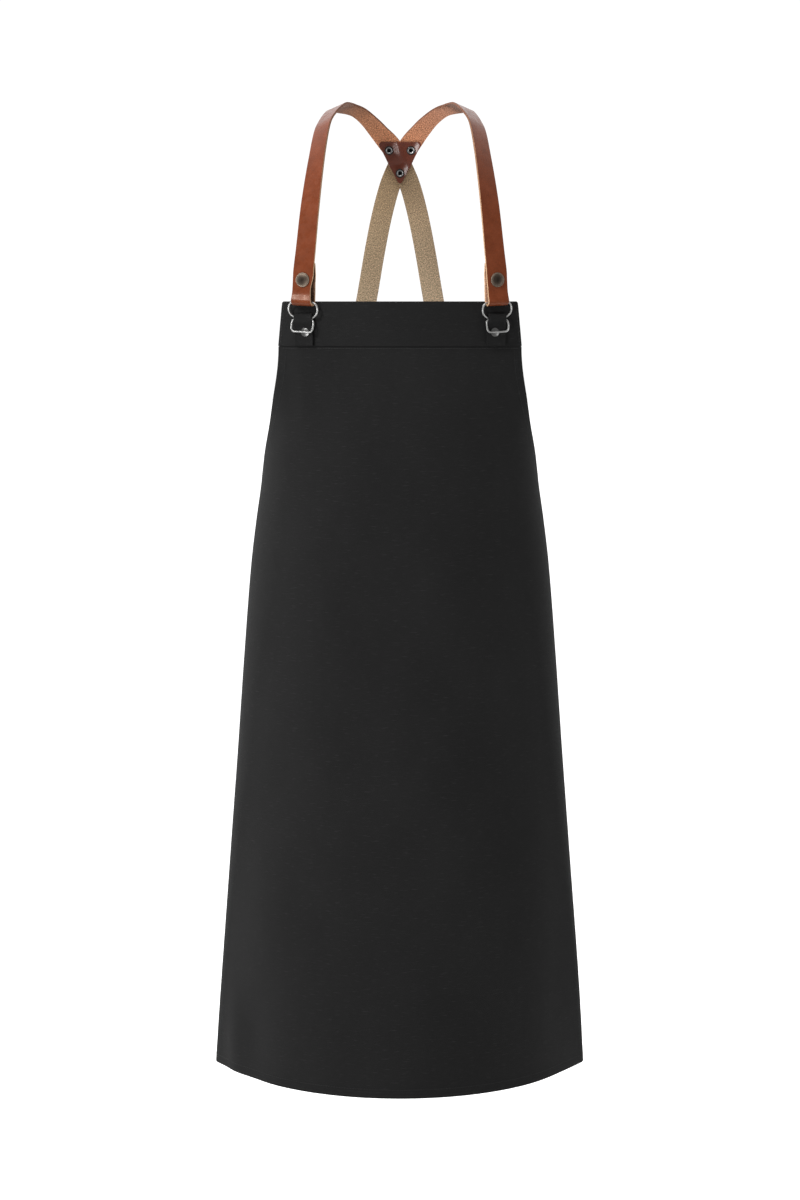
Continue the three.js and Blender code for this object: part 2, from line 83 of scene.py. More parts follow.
# Tabs, studs, buckles and the front loop of the straps.
TAB_ALONG = 109
TAB_WIDTH = 22.4
TAB_PLY = 1.0
TAB_FRONT = 3.05
TAB_FACE = 24
TAB_STAND_OFF = 0.9
STUD_ACROSS = -2
STUD_Z = -261.5
STUD_RADIUS = 5.0
WIRE_RADIUS = 1.05
NECK_Z = -246.3
HANG_ROLL = math.radians(3)
STRAP_WIDTH = 24.5
LEATHER = 2.4
LOOP_RADIUS = 5.0
LOOP_OUT = 6.9
LOOP_Z = -225.8
PLY_BACK = 3.0
PLY_FRONT = 9.4
SNAP_Z = -203
SNAP_RADIUS = 8.2
SNAP_POST = 2.0

# Crossing of the straps, its patch and rivets, and the riveted waist corners.
LAP_OFFSET = LEATHER / 2 + 0.2
CROSS_Z = -63
CROSS_Y = 106.5
CROSS_SLOPE = math.atan(0.17)
CROSS_UP = Vector((0, -math.sin(CROSS_SLOPE), math.cos(CROSS_SLOPE)))
CROSS_REAR = Vector((0, math.cos(CROSS_SLOPE), math.sin(CROSS_SLOPE)))
PATCH_THICK = 2.0
PATCH_BACK = -LAP_OFFSET - LEATHER / 2 - GAP
PATCH_FRONT = PATCH_BACK - PATCH_THICK
PATCH_CORNER = 3.0
PATCH_LIFT = 1.4
DIMPLE = 6.4
DIMPLE_TURN = math.radians(14)
RIVET_FLANGE = 5.2
RIVET_BARREL = 3.2
RIVET_BORE = 2.4
WAIST_RIVET_ALONG = 331
WAIST_RIVET_DROP = 318
STRAP_SLANT = 0.22
TAIL_REACHES = ((-70, 1.2), (0, 0), (14, 0))

# Stitches of the hems and band, and of the tabs: pitch, length and the thread's thickness.
HEM_STITCH = (3.3, 2.5, 0.45)
TAB_STITCH = (2.6, 2.0, 0.42)

# Flutes of the open back edges: where they begin along the cloth and down it, rise and pitch.
FLUTE_ALONG = 240
FLUTE_REACH = 110
FLUTE_DROP = 400
FLUTE_FADE = 200
FLUTE_RISE = 5
FLUTE_PITCH = 62

# Staging, in metres and watts. The floor lies a standing wearer's shoulder height down.
CAMERA_PLACE = (0, -3.115, -0.227)
CAMERA_TILT = math.radians(6.39)
CAMERA_LENS = 80
FLOOR_Z = -1.45
FLOOR_HALF = 30
SWEEP_RISE = 0.55
LIGHTS = (
    # name, place, target, width, height, power
    ("key", (-1.63, -1.68, 1.3), (0, 0, -0.3), 0.6, 0.6, 34.5),
    ("side", (-2.3, 0.75, 0.1), (0, 0, -0.4), 0.5, 1.2, 20.5),
    ("top", (-0.3, -0.9, 2.2), (0, 0, -0.2), 1.2, 1.2, 10),
    ("low", (-0.91, -1.93, -0.905), (0, 0, -0.1), 0.32, 0.32, 12),
    ("fill", (2.1, -0.9, -0.7), (0, 0, -0.75), 0.6, 0.8, 4.5),
)

# Plan of the cloth at a drop. lean is the centre's shift to the rear, wide the half width that
# it turns round, turn the sweep of the front arc in degrees, flank the straight run after it,
# side the radius of the side turn and heading where that turn ends.
PLAN_ROWS = (
    # drop, lean, wide, turn, flank, side, heading
    (0, 0, 172, 30, 0, 50, 120),
    (60, 0, 171, 30.5, 0, 52, 120),
    (146, -3, 155, 34, 0, 65, 130),
    (200, -5, 159.5, 36, 0, 75, 138),
    (252, -7, 167, 38, 0, 84, 142),
    (300, -8, 173, 38, 0, 85, 142),
    (406, -10, 182, 42, 10, 74, 139),
    (526, -12, 191, 46, 20, 60, 133),
    (648, -13, 201, 50, 32, 44, 126),
    (771, -14, 211, 54, 43, 27, 119),
    (APRON_LENGTH, -15, 221, 57, 54, 12, 112),
)

# Soft swellings and hollows of the hanging cloth: centre, spread and rise of each.
SOFT_FOLDS = (
    # drop, along, down, wide, rise
    (105, -114, 55, 13, 1.1),
    (105, 114, 55, 13, 0.9),
    (862, -196, 55, 26, -3.5),
    (880, -236, 60, 20, 3.0),
    (850, 214, 80, 30, -2.0),
    (420, 40, 160, 34, 0.8),
    (520, -60, 200, 40, 0.8),
)

# A strap from its front loop to the opposite waist corner, for the side with x > 0. turn and
# lift aim the grain face; lap is the share of the offset that parts the straps at the crossing.
STRAP_RUN = (
    # x, y, z, turn, lift, lap
    (105.6, -105.5, -171, 26, 4, 0),
    (100.2, -98, -117.6, 33, 12, 0),
    (93.2, -77, -63.3, 47, 26, 0),
    (87.6, -50, -30, 59, 42, 0),
    (82.6, -29, -18, 68, 54, 0),
    (77.2, 0, -8.5, 82, 64, 0),
    (72.0, 38, -1.8, 102, 68, 0),
    (63.6, 74, -0.8, 130, 69, 0),
    (48.8, 89, -4.4, 190, 66, 0.2),
    (35.2, 95, -15, 203, 49, 0.7),
    (22.6, 100.2, -28.8, 198, 31, 1),
    (10.1, 103.3, -44.2, 180, 9.7, 1),
    (-0.6, 106.5, -63.4, 180, 9.7, 1),
    (-10.4, 110.2, -85.1, 180, 9, 1),
    (-15.4, 112, -100.5, 180, 6, 0.8),
    (-22.6, 113.8, -128.9, 181, 3, 0.3),
    (-30.2, 115, -166.9, 182, 1, 0),
    (-40.3, 115, -225.4, 184, 0, 0),
    (-62, 113, -340, 192, -2, 0),
)

# Front loop of a strap as distance from the band and height: back ply down, face ply up.
LOOP_BACK = ((6.2, -184), (4.4, -191), (PLY_BACK, -198), (PLY_BACK, -207), (2.2, -215))
LOOP_FRONT = (
    (12.5, -227.0),
    (12.25, -225.6),
    (11.5, -223.2),
    (10.5, -220.6),
    (9.86, -217.4),
    (9.52, -213.8),
    (PLY_FRONT, -210),
    (PLY_FRONT, -203),
    (PLY_FRONT, -194),
)
LOOP_BELLY = 5.6

# The inner edge of each face ply is drawn in at the loop: middle and reach along the strap, depth.
LOOP_WAIST = {-1: (70, 18, 2.8), 1: (70, 18, 0.7)}

# Half of the buckle's bent wire: side, distance from the band and height.
BUCKLE_HALF = (
    (0.25, 6.9, -228),
    (7, 6.9, -228),
    (12.6, 6.9, -228.2),
    (15.9, 6.7, -230.4),
    (17.4, 6.4, -234),
    (17.4, 5.9, -238),
    (15.8, 5.2, -241.6),
    (12.4, 4.5, -244.3),
    (9.4, 4.2, -246.3),
    (12.0, 4.6, -248.6),
    (13.1, 5.4, -251.4),
    (13.2, 6.1, -255),
    (12.7, 6.6, -258.4),
    (10.8, 6.75, -260.7),
    (6, 6.75, -261.2),
    (0, 6.75, -261.2),
)

# A tab's strip from its sewn back end over the fold to its sewn front end.
TAB_STRIP = (
    # out, z
    (0.85, -276.6),
    (1.7, -266),
    (1.75, -261),
    (1.8, -252),
    (1.9, -243.2),
    (2.52, -241.72),
    (4.0, -241.1),
    (5.48, -241.72),
    (6.1, -243.2),
    (6.3, -247.4),
    (6.25, -250),
    (4.9, -252.6),
    (3.35, -255.2),
    (TAB_FRONT, -257.5),
    (TAB_FRONT, -261.5),
    (TAB_FRONT, -266),
    (2.15, -276.6),
)

PATCH_CORNERS = ((0, -27), (27, 25.5), (-27, 25.5))
CROSS_RIVETS = (
    # name, across, up, strap that it goes through (0 for both)
    ("rivet_left", -13, 15.5, -1),
    ("rivet_right", 13, 15.5, 1),
    ("rivet_lower", 0, -11.5, 0),
)


# Camera and studio.

def make_camera():
    """The photograph's view: level with the top edge, 3.1 m in front, tipped down."""
    lens = bpy.data.cameras.new("camera")
    lens.lens = CAMERA_LENS
    lens.sensor_width = 36
    camera = bpy.data.objects.new("camera", lens)
    camera.location = CAMERA_PLACE
    camera.rotation_euler = (math.pi / 2 - CAMERA_TILT, 0, 0)
    bpy.context.scene.collection.objects.link(camera)
    bpy.context.scene.camera = camera


def make_soft_light(name, place, target, width, height, power):
    panel = bpy.data.lights.new(name, "AREA")
    panel.shape = "RECTANGLE"
    panel.size = width
    panel.size_y = height
    panel.energy = power
    light = bpy.data.objects.new(name, panel)
    light.location = place
    sight = Vector(target) - Vector(place)
    light.rotation_euler = sight.to_track_quat("-Z", "Y").to_euler()
    bpy.context.scene.collection.objects.link(light)


def make_studio():
    """A white backdrop, a dim room in front of it and soft lights from the viewer's left."""
    scene = bpy.context.scene
    scene.view_settings.view_transform = "Standard"
    world = bpy.data.worlds.new("studio")
    scene.world = world
    world.use_nodes = True
    tree = world.node_tree
    background = tree.nodes["Background"]
    background.inputs["Color"].default_value = (1, 1, 1, 1)
    direction = add_node(tree, "ShaderNodeTexCoord")
    parts = add_node(tree, "ShaderNodeSeparateXYZ", Vector=direction.outputs["Generated"])
    behind = ranged(tree, parts.outputs["Y"], -0.55, 0.6, 0.28, 1.05)
    tree.links.new(behind, background.inputs["Strength"])
    for row in LIGHTS:
        make_soft_light(*row)


def make_floor():
    bm = bmesh.new()
    bmesh.ops.create_grid(bm, x_segments=8, y_segments=8, size=FLOOR_HALF)
    bmesh.ops.translate(bm, vec=(0, 0, FLOOR_Z), verts=bm.verts)
    mesh = bpy.data.meshes.new("floor")
    bm.to_mesh(mesh)
    bm.free()
    mesh.materials.append(floor_paint())
    floor = bpy.data.objects.new("floor", mesh)
    bpy.context.scene.collection.objects.link(floor)
    floor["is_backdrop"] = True


# Material building blocks.

def feed(tree, socket, value):
    """Links a node's output to a socket, or sets the socket to a plain value."""
    if isinstance(value, bpy.types.NodeSocket):
        tree.links.new(value, socket)
    else:
        socket.default_value = value


def add_node(tree, kind, **inputs):
    """A node with its sockets linked or set; a socket's name has _ for a space."""
    node = tree.nodes.new(kind)
    for name, value in inputs.items():
        feed(tree, node.inputs[name.replace("_", " ")], value)
    return node


def ranged(tree, value, low, high, to_low, to_high):
    """A value taken from one range to another by a clamped smooth step."""
    node = add_node(
        tree, "ShaderNodeMapRange", Value=value, From_Min=low, From_Max=high, To_Min=to_low, To_Max=to_high
    )
    node.interpolation_type = "SMOOTHSTEP"
    return node.outputs["Result"]


def new_finish(name, **sockets):
    """A material with a Principled shader whose constant sockets are set by name."""
    finish = bpy.data.materials.new(name)
    finish.use_nodes = True
    shader = finish.node_tree.nodes["Principled BSDF"]
    for key, value in sockets.items():
        shader.inputs[key.replace("_", " ")].default_value = value
    return finish, finish.node_tree, shader


def spread_coords(tree, source, scale):
    """Coordinates of the piece, scaled per axis to repeats per metre."""
    coords = add_node(tree, "ShaderNodeTexCoord")
    mapping = add_node(tree, "ShaderNodeMapping", Vector=coords.outputs[source])
    mapping.inputs["Scale"].default_value = scale
    return mapping.outputs["Vector"]


def noise(tree, vector, scale=1.0, detail=3.0, roughness=0.55):
    node = add_node(
        tree, "ShaderNodeTexNoise", Vector=vector, Scale=scale, Detail=detail, Roughness=roughness
    )
    return node.outputs["Fac"]


def ramp(tree, factor, *stops):
    """Colour ramp from (place, colour) stops; a colour is a grey or an RGB triple."""
    node = add_node(tree, "ShaderNodeValToRGB", Fac=factor)
    elements = node.color_ramp.elements
    while len(elements) < len(stops):
        elements.new(0.5)
    for element, (place, colour) in zip(elements, stops):
        element.position = place
        rgb = (colour,) * 3 if isinstance(colour, (int, float)) else colour
        element.color = (*rgb, 1)
    return node.outputs["Color"]


def mix(tree, kind, factor, first, second):
    node = tree.nodes.new("ShaderNodeMix")
    node.data_type = "RGBA"
    node.blend_type = kind
    for index, value in ((0, factor), (6, first), (7, second)):
        feed(tree, node.inputs[index], value)
    return node.outputs[2]


def rim_share(tree):
    """How far out on a turned piece a place is, as a share of the piece's radius."""
    node = tree.nodes.new("ShaderNodeAttribute")
    node.attribute_name = "rim"
    return node.outputs["Fac"]


def maths(tree, kind, *values):
    node = tree.nodes.new("ShaderNodeMath")
    node.operation = kind
    for socket, value in zip(node.inputs, values):
        feed(tree, socket, value)
    return node.outputs[0]


def bump(tree, shader, height, distance, strength=1.0):
    node = add_node(tree, "ShaderNodeBump", Height=height, Distance=distance, Strength=strength)
    tree.links.new(node.outputs["Normal"], shader.inputs["Normal"])


def wave(tree, vector, direction, scale, distortion):
    node = add_node(tree, "ShaderNodeTexWave", Vector=vector, Scale=scale, Distortion=distortion, Detail=2.0)
    node.bands_direction = direction
    return node.outputs["Fac"]


# Finishes.

def floor_paint():
    """Pale paint, darker towards the front, with a painted glow that makes it white where the floor rises
    into the backdrop.
    """
    finish, tree, shader = new_finish(
        "floor_paint", Roughness=0.95, Specular_IOR_Level=0.1, Emission_Color=(1, 1, 1, 1)
    )
    coords = add_node(tree, "ShaderNodeTexCoord")
    place = add_node(tree, "ShaderNodeSeparateXYZ", Vector=coords.outputs["Object"])
    raised = add_node(
        tree, "ShaderNodeCombineXYZ", X=place.outputs["X"], Y=place.outputs["Y"], Z=SWEEP_RISE
    )
    direction = add_node(tree, "ShaderNodeVectorMath", Vector=raised.outputs["Vector"])
    direction.operation = "NORMALIZE"
    parts = add_node(tree, "ShaderNodeSeparateXYZ", Vector=direction.outputs["Vector"])
    sweep = ranged(tree, parts.outputs["Y"], -0.35, 0.6, 0.0, 0.75)
    tree.links.new(sweep, shader.inputs["Emission Strength"])
    tree.links.new(ramp(tree, sweep, (0.0, 0.45), (0.75, 0.94)), shader.inputs["Base Color"])
    return finish


def twill():
    """Black cotton twill: steep wales across the yarns, slubs along the weft, soft bloom."""
    finish, tree, shader = new_finish(
        "apron_twill", Roughness=0.85, Specular_IOR_Level=0.12, Sheen_Weight=0.01, Sheen_Roughness=0.4
    )
    flat = spread_coords(tree, "UV", (1, 1, 1))
    wales = wave(tree, flat, "DIAGONAL", 560, 0.6)
    yarns = wave(tree, flat, "X", 560, 0.4)
    weave = maths(tree, "MULTIPLY_ADD", wales, 0.7, maths(tree, "MULTIPLY", yarns, 0.3))
    slubs = noise(tree, spread_coords(tree, "UV", (90, 760, 1)), detail=2.0)
    cloudy = noise(tree, spread_coords(tree, "UV", (9, 6, 1)), detail=4.0)
    yarn = ramp(tree, weave, (0.15, (0.0125, 0.0125, 0.0126)), (0.75, (0.0207, 0.0207, 0.0209)))
    fleck = ramp(tree, slubs, (0.60, 0.0), (0.76, 0.7))
    cloth = mix(tree, "MIX", fleck, yarn, (0.034, 0.034, 0.0342, 1))
    shade = ramp(tree, cloudy, (0.3, 0.88), (0.7, 1.1))
    tree.links.new(mix(tree, "MULTIPLY", 1.0, cloth, shade), shader.inputs["Base Color"])
    relief = maths(tree, "ADD", weave, maths(tree, "MULTIPLY", slubs, 0.8))
    bump(tree, shader, relief, 0.00018, 0.7)
    return finish


def thread_finish(name, grey):
    finish, tree, shader = new_finish(name, Roughness=0.7)
    twist = noise(tree, spread_coords(tree, "Object", (2600, 2600, 2600)))
    tree.links.new(ramp(tree, twist, (0.35, grey), (0.7, 1.8 * grey)), shader.inputs["Base Color"])
    bump(tree, shader, twist, 0.0001, 0.6)
    return finish


def grain_leather(name, deep, body, bright, roughness, shine, coat):
    """Dyed leather, grain side: fine pebbled grain, pores, cloudy dye and a worn satin gloss."""
    finish, tree, shader = new_finish(
        name, Specular_IOR_Level=shine, Specular_Tint=(1, 0.82, 0.68, 1),
        Coat_Weight=coat, Coat_Roughness=0.27,
    )
    flat = spread_coords(tree, "Object", (1, 1, 1))
    pebbles = add_node(tree, "ShaderNodeTexVoronoi", Vector=flat, Scale=1150.0, Randomness=1.0)
    pebbles.feature = "DISTANCE_TO_EDGE"
    grain = ramp(tree, pebbles.outputs["Distance"], (0.0, 0.0), (0.22, 1.0))
    pores = noise(tree, flat, 2600.0, 2.0)
    dye = noise(tree, flat, 70.0, 5.0, 0.6)
    colour = ramp(tree, dye, (0.28, deep), (0.5, body), (0.76, bright))
    creases = ramp(tree, grain, (0.0, 0.94), (0.6, 1.0))
    tree.links.new(mix(tree, "MULTIPLY", 1.0, colour, creases), shader.inputs["Base Color"])
    gloss = ranged(tree, noise(tree, flat, 160.0, 4.0), 0.3, 0.7, roughness - 0.06, roughness + 0.08)
    tree.links.new(gloss, shader.inputs["Roughness"])
    relief = maths(tree, "ADD", grain, maths(tree, "MULTIPLY", pores, 0.5))
    bump(tree, shader, relief, 0.00004, 0.05)
    return finish


def flesh_leather(name, loop, shoulder, above, below, back):
    """Flesh side of a strap: napped fibres, painted shade at the crest, brown over the shoulder, khaki down
    the back.
    """
    finish, tree, shader = new_finish(
        name, Roughness=0.95, Specular_IOR_Level=0.15, Sheen_Weight=0.08, Sheen_Roughness=0.6
    )
    coords = add_node(tree, "ShaderNodeTexCoord")
    parts = add_node(tree, "ShaderNodeSeparateXYZ", Vector=coords.outputs["UV"])
    blotch = noise(tree, spread_coords(tree, "UV", (60, 26, 1)), detail=5.0)
    stray = maths(tree, "MULTIPLY_ADD", blotch, 0.04, maths(tree, "SUBTRACT", parts.outputs["Y"], 0.02))
    # Painted shade: the dark stops from 0.30 to 0.395 darken the crest over the shoulder.
    tone = ramp(
        tree, stray,
        (0.12, loop),
        (0.30, (0.16, 0.070, 0.040)),
        (0.395, (0.16, 0.070, 0.040)),
        (0.425, shoulder),
        (0.485, above),
        (0.515, below),
        (0.70, back),
    )
    nap = noise(tree, spread_coords(tree, "UV", (900, 660, 1)), detail=3.0, roughness=0.65)
    fibres = ramp(tree, nap, (0.33, 0.32), (0.5, 0.95), (0.67, 1.7))
    tree.links.new(mix(tree, "MULTIPLY", 1.0, tone, fibres), shader.inputs["Base Color"])
    bump(tree, shader, nap, 0.0003, 0.8)
    return finish


def cut_leather():
    """Raw cut edge: layered fibres, pale at the front loop and darker over the shoulder."""
    finish, tree, shader = new_finish("strap_cut_edge", Roughness=0.8)
    coords = add_node(tree, "ShaderNodeTexCoord")
    parts = add_node(tree, "ShaderNodeSeparateXYZ", Vector=coords.outputs["UV"])
    fibres = noise(tree, spread_coords(tree, "Object", (500, 500, 500)), detail=5.0)
    pale = ramp(tree, fibres, (0.3, (0.50, 0.28, 0.14)), (0.7, (0.80, 0.52, 0.31)))
    # The darker edge colour takes over along the strap towards the shoulder.
    darker_edge = ramp(tree, fibres, (0.3, (0.14, 0.05, 0.025)), (0.7, (0.26, 0.10, 0.05)))
    tone_share = ramp(tree, parts.outputs["Y"], (0.10, 0.0), (0.30, 1.0))
    tree.links.new(mix(tree, "MIX", tone_share, pale, darker_edge), shader.inputs["Base Color"])
    bump(tree, shader, fibres, 0.0002, 0.6)
    return finish


def plated_metal(name, dull, bright, smooth, rough, rim_shade_painted=False):
    """Plated metal with rubbed patches and fine scratches, and painted shade towards the rim of a rivet
    where it meets the leather.
    """
    finish, tree, shader = new_finish(name, Metallic=1.0)
    flat = spread_coords(tree, "Object", (1, 1, 1))
    rubbed = noise(tree, flat, 160.0, 3.0, 0.5)
    colour = ramp(tree, rubbed, (0.3, dull), (0.68, bright))
    if rim_shade_painted:
        # Painted shade: the rim of a rivet is darkened where its flange meets the leather.
        rim_shade = ramp(tree, rim_share(tree), (0.66, 1.0), (0.8, 0.08))
        colour = mix(tree, "MULTIPLY", 1.0, colour, rim_shade)
    tree.links.new(colour, shader.inputs["Base Color"])
    tree.links.new(ranged(tree, rubbed, 0.3, 0.7, rough, smooth), shader.inputs["Roughness"])
    scratches = noise(tree, spread_coords(tree, "Object", (900, 900, 6000)), detail=3.0)
    bump(tree, shader, scratches, 0.000004, 0.5)
    return finish


def antique_bronze():
    """Dark bronze caps, rubbed bright on the rim."""
    finish, tree, shader = new_finish("cap_bronze", Metallic=1.0)
    flat = spread_coords(tree, "Object", (1, 1, 1))
    patina = noise(tree, flat, 650.0, 5.0, 0.7)
    tone_share = maths(tree, "MULTIPLY_ADD", patina, 0.5, maths(tree, "MULTIPLY", rim_share(tree), 0.55))
    colour = ramp(
        tree, tone_share,
        (0.30, (0.042, 0.032, 0.025)),
        (0.55, (0.09, 0.068, 0.053)),
        (0.86, (0.32, 0.255, 0.20)),
    )
    tree.links.new(colour, shader.inputs["Base Color"])
    tree.links.new(ranged(tree, patina, 0.3, 0.7, 0.42, 0.60), shader.inputs["Roughness"])
    bump(tree, shader, patina, 0.00012, 0.6)
    return finish


# Cloth form.

def lean_between(before, after):
    """Slope at a row of the plan between two slopes, flat where they change sign."""
    return 0 if before * after <= 0 else 2 * before * after / (before + after)


@lru_cache(maxsize=None)
def plan_at(drop):
    """The plan's columns at a drop, smooth and monotone between the rows of the table."""
    last = len(PLAN_ROWS) - 1
    i = 0
    while i < last - 1 and drop > PLAN_ROWS[i + 1][0]:
        i += 1
    span = PLAN_ROWS[i + 1][0] - PLAN_ROWS[i][0]
    t = (drop - PLAN_ROWS[i][0]) / span
    rise = t * t * (3 - 2 * t)
    values = []
    for column in range(1, len(PLAN_ROWS[0])):
        def slope(k):
            low, high = PLAN_ROWS[k], PLAN_ROWS[k + 1]
            return (high[column] - low[column]) / (high[0] - low[0])
        start = slope(0) if i == 0 else lean_between(slope(i - 1), slope(i))
        end = slope(last - 1) if i + 1 == last else lean_between(slope(i), slope(i + 1))
        curved = span * (start * t * (1 - t) ** 2 + end * t * t * (t - 1))
        values.append(PLAN_ROWS[i][column] * (1 - rise) + PLAN_ROWS[i + 1][column] * rise + curved)
    return tuple(values)


def half_girth(drop):
    if drop <= BAND_DEPTH:
        return BIB_HALF + (BIB_SEAM_HALF - BIB_HALF) * drop / BAND_DEPTH
    t = min(1, (drop - BAND_DEPTH) / (WAIST_DROP - BAND_DEPTH))
    return BIB_SEAM_HALF + (WAIST_HALF - BIB_SEAM_HALF) * t * t


def cloth_at(drop, along):
    """Point on the cloth's middle surface, its outward direction and its direction sideways."""
    lean, wide, turn, flank, side, heading_end = plan_at(drop)
    turn = math.radians(turn)
    front = (wide - flank * math.cos(turn) - side * (1 - math.sin(turn))) / math.sin(turn)
    runs = (
        (front * turn, 1 / front),
        (flank, 0),
        (side * (math.radians(heading_end) - turn), 1 / side),
        (math.inf, 1 / BACK_RADIUS),
    )
    x, y, heading, left = 0, TOP_Y + lean, 0, abs(along)
    for length, bend in runs:
        step = min(left, length)
        after = heading + step * bend
        if bend == 0:
            x += step * math.cos(heading)
            y += step * math.sin(heading)
        else:
            x += (math.sin(after) - math.sin(heading)) / bend
            y += (math.cos(heading) - math.cos(after)) / bend
        heading = after
        left -= step
    mirror = -1 if along < 0 else 1
    point = Vector((mirror * x, y, TOP_Z - drop))
    out = Vector((mirror * math.sin(heading), -math.cos(heading), 0))
    across = Vector((mirror * math.cos(heading), math.sin(heading), 0))
    return point, out, across


def soft_rise(drop, along):
    """How far the hanging cloth swells out of its plain form, in mm."""
    rise = sum(
        height * math.exp(-((drop - d) / down) ** 2 - ((along - a) / wide) ** 2)
        for d, a, down, wide, height in SOFT_FOLDS
    )
    back = max(0, (abs(along) - FLUTE_ALONG) / FLUTE_REACH)
    low = min(1, max(0, (drop - FLUTE_DROP) / FLUTE_FADE))
    shift = 1.2 if along > 0 else 0
    return rise + FLUTE_RISE * low * back * back * math.sin(drop / FLUTE_PITCH + shift)


def draped(drop, along, off=0.0):
    """Point of the draped cloth, off its middle surface by a distance, and its outward direction."""
    point, out, _ = cloth_at(min(drop, APRON_LENGTH), along)
    point.z = TOP_Z - drop
    return point + out * (soft_rise(drop, along) + off), out


# Mesh building blocks.

def new_bmesh():
    bm = bmesh.new()
    bm.loops.layers.uv.new("flat")
    return bm


def add_grid(bm, columns, rows, spot):
    """A grid whose corners come from spot(u, v), u and v from 0 to 1: a point and its flat place."""
    corners = bmesh.ops.create_grid(bm, x_segments=columns, y_segments=rows, size=0.5)["verts"]
    flat = bm.loops.layers.uv.verify()
    places = {}
    for corner in corners:
        point, place = spot(corner.co.x + 0.5, corner.co.y + 0.5)
        corner.co = point * MM
        places[corner] = Vector(place) * MM
    for face in {face for corner in corners for face in corner.link_faces}:
        for loop in face.loops:
            loop[flat].uv = places[loop.vert]


def new_piece(name, bm, finishes, sharp=None):
    """Makes an object of the mesh, shaded smooth, that moves with the apron."""
    mesh = bpy.data.meshes.new(name)
    for face in bm.faces:
        face.smooth = True
    bm.to_mesh(mesh)
    bm.free()
    if sharp is not None:
        mesh.set_sharp_from_angle(angle=math.radians(sharp))
    for finish in finishes:
        mesh.materials.append(finish)
    piece = bpy.data.objects.new(name, mesh)
    bpy.context.scene.collection.objects.link(piece)
    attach(piece, "root")
    return piece


def thicken(piece, thickness, round_edge, sides_differ=False):
    """Gives a sheet its thickness about its middle, and rounds its edges."""
    wall = piece.modifiers.new("wall", "SOLIDIFY")
    wall.thickness = thickness * MM
    wall.offset = 0
    wall.use_even_offset = True
    if sides_differ:
        wall.material_offset = 1
        wall.material_offset_rim = 2
    edge = piece.modifiers.new("edge", "BEVEL")
    edge.width = round_edge * MM
    edge.segments = 2
    edge.limit_method = "ANGLE"
    edge.angle_limit = math.radians(50)
    piece.modifiers.new("shading", "WEIGHTED_NORMAL").keep_sharp = True


def curve_points(points, spacing):
    """Points and tangents of a centripetal curve through points, about spacing apart, with the
    number of the span and the share of it for each."""
    points = [Vector(p) for p in points]
    first = points[0] * 2 - points[1]
    last = points[-1] * 2 - points[-2]
    track = [first, *points, last]
    for i in range(len(points) - 1):
        p0, p1, p2, p3 = track[i:i + 4]
        d0, d1, d2 = (math.sqrt((b - a).length) for a, b in ((p0, p1), (p1, p2), (p2, p3)))
        m1 = ((p1 - p0) / d0 - (p2 - p0) / (d0 + d1) + (p2 - p1) / d1) * d1
        m2 = ((p2 - p1) / d1 - (p3 - p1) / (d1 + d2) + (p3 - p2) / d2) * d1
        steps = max(2, math.ceil((p2 - p1).length / spacing))
        for k in range(steps + (i == len(points) - 2)):
            t = k / steps
            square = p1 * -3 + p2 * 3 - m1 * 2 - m2
            cube = (p1 - p2) * 2 + m1 + m2
            point = p1 + m1 * t + square * t ** 2 + cube * t ** 3
            tangent = (m1 + square * (2 * t) + cube * (3 * t * t)).normalized()
            yield point, tangent, i, t


def strip_rows(stations, spacing):
    """Rows of a strip along stations of a point and a face direction: point, across, out, length."""
    rows = []
    length = 0
    for point, tangent, i, t in curve_points([s[0] for s in stations], spacing):
        out = stations[i][1].lerp(stations[min(i + 1, len(stations) - 1)][1], t)
        out = (out - tangent * out.dot(tangent)).normalized()
        if rows:
            length += (point - rows[-1][0]).length
        rows.append((point, tangent.cross(out), out, length))
    return rows


def add_strip(bm, rows, width, cells, edge=None):
    """A strip along its rows; edge(side, length) may give a place of it a shift sideways and out."""
    def spot(u, v):
        point, across, out, length = rows[round(v * (len(rows) - 1))]
        side = (u - 0.5) * width
        shift, lift = edge(side, length) if edge else (0, 0)
        return point + across * (side + shift) + out * lift, (side, length)

    add_grid(bm, cells, len(rows) - 1, spot)


def add_stitches(bm, path, sewing=HEM_STITCH):
    """Stitches lying along a path of points and face directions, sunk a little into the cloth."""
    pitch, length, thread = sewing
    stitch = bmesh.new()
    bmesh.ops.create_uvsphere(stitch, u_segments=6, v_segments=4, radius=MM / 2)
    sewn = bpy.data.meshes.new("stitch")
    size = Matrix.Diagonal((length, thread, thread, 1))
    travelled = 0
    due = pitch / 2
    for (start, out), (end, _) in zip(path, path[1:]):
        run = end - start
        while run.length > 0 and due <= travelled + run.length:
            at = start + run * ((due - travelled) / run.length)
            along = run.normalized()
            face = (out - along * out.dot(along)).normalized()
            turn = Matrix((along, face.cross(along), face)).transposed().to_4x4()
            one = stitch.copy()
            bmesh.ops.transform(one, matrix=Matrix.Translation(at * MM) @ turn @ size, verts=one.verts)
            one.to_mesh(sewn)
            one.free()
            bm.from_mesh(sewn)
            due += pitch
        travelled += run.length
    stitch.free()
    bpy.data.meshes.remove(sewn)


def arc(centre, radius, start, end, steps):
    """Points of an arc in a turned profile, angles in degrees from the radius direction."""
    angles = (math.radians(start + (end - start) * k / steps) for k in range(steps + 1))
    return [(centre[0] + radius * math.cos(a), centre[1] + radius * math.sin(a)) for a in angles]


def dome(radius, base, rise, steps=8):
    """Profile of a domed face from its rim to the axis."""
    sphere = (radius * radius + rise * rise) / (2 * rise)
    half = math.degrees(math.asin(radius / sphere))
    return arc((0, base + rise - sphere), sphere, 90 - half, 90, steps)


